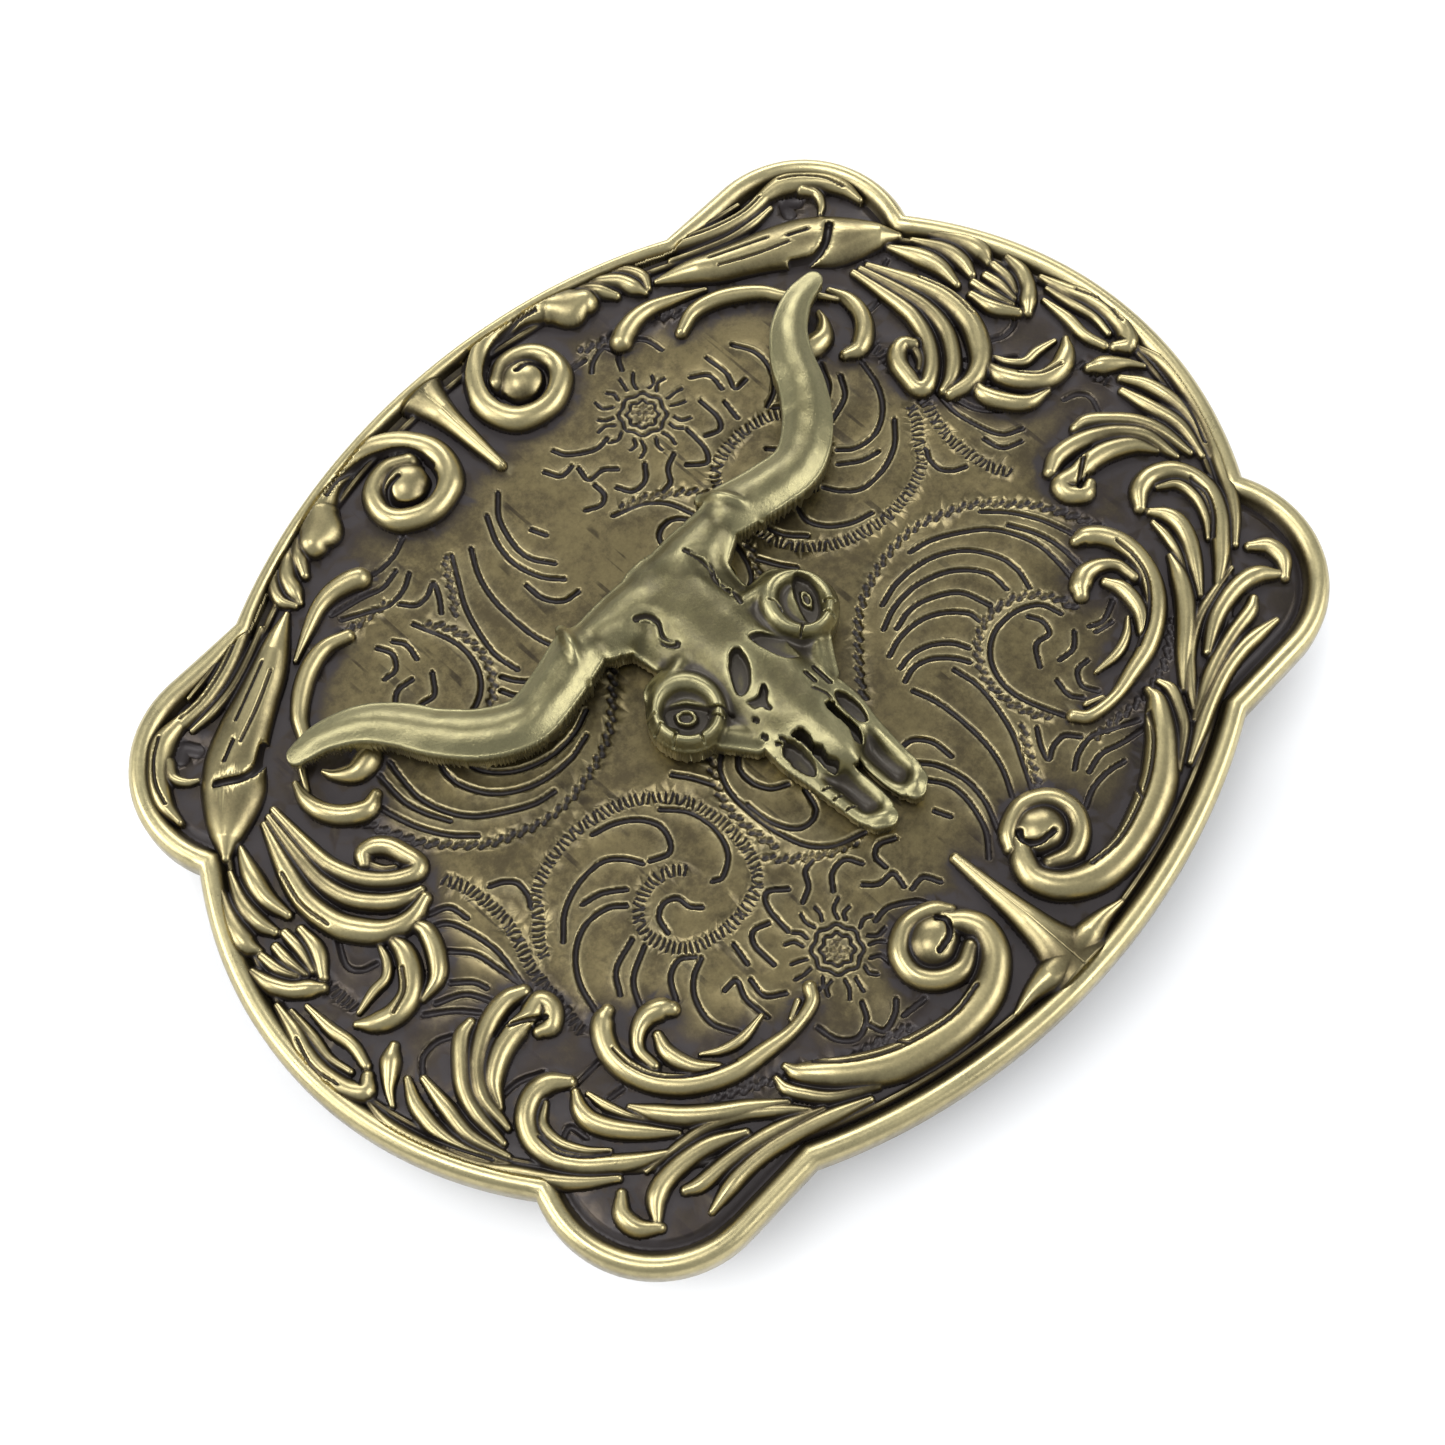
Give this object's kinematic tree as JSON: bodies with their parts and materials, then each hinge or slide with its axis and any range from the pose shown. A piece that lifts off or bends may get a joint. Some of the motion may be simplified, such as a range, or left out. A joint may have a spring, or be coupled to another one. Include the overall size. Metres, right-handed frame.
{
  "type": "plate belt buckle",
  "caption": "Oval western plate buckle with scroll border, raised longhorn skull, swivelling belt loop and hook stud.",
  "frame": {"origin": "middle of the plate in X and Y, at the lowest point of the back hardware, where the buckle rests when it lies face up", "axes": "+X to the viewer's right when facing the plate, +Y towards the horns, +Z out of the face"},
  "size_m": [0.0982, 0.079, 0.0156],
  "materials": {
    "cast_plate": "antique, dark in the recesses and rubbed bright on the ridges",
    "cast_skull": "antique, satin",
    "back_hardware": "antique, stamped",
    "wire": "antique, smooth",
    "fasteners": "antique, smooth"
  },
  "bodies": {
    "plate": {"face_plate": "cast_plate", "longhorn_skull": "cast_skull", "skull_screw_upper": "fasteners", "skull_screw_lower": "fasteners", "skull_washer_upper": "fasteners", "skull_washer_lower": "fasteners", "loop_bracket": "back_hardware", "bracket_rivet_1": "fasteners", "bracket_rivet_2": "fasteners", "bracket_rivet_3": "fasteners", "bracket_rivet_4": "fasteners", "stud_plate": "back_hardware", "stud_rivet_1": "fasteners", "stud_rivet_2": "fasteners", "hook_stud": "wire"},
    "loop": {"belt_loop": "wire"}
  },
  "joints": [
    {"name": "loop_swivel", "type": "hinge", "parent": "plate", "child": "loop", "pos_m": [0.022, 0, 0.0026], "axis": [0, 1, 0], "range_deg": [-8, 180]}
  ]
}
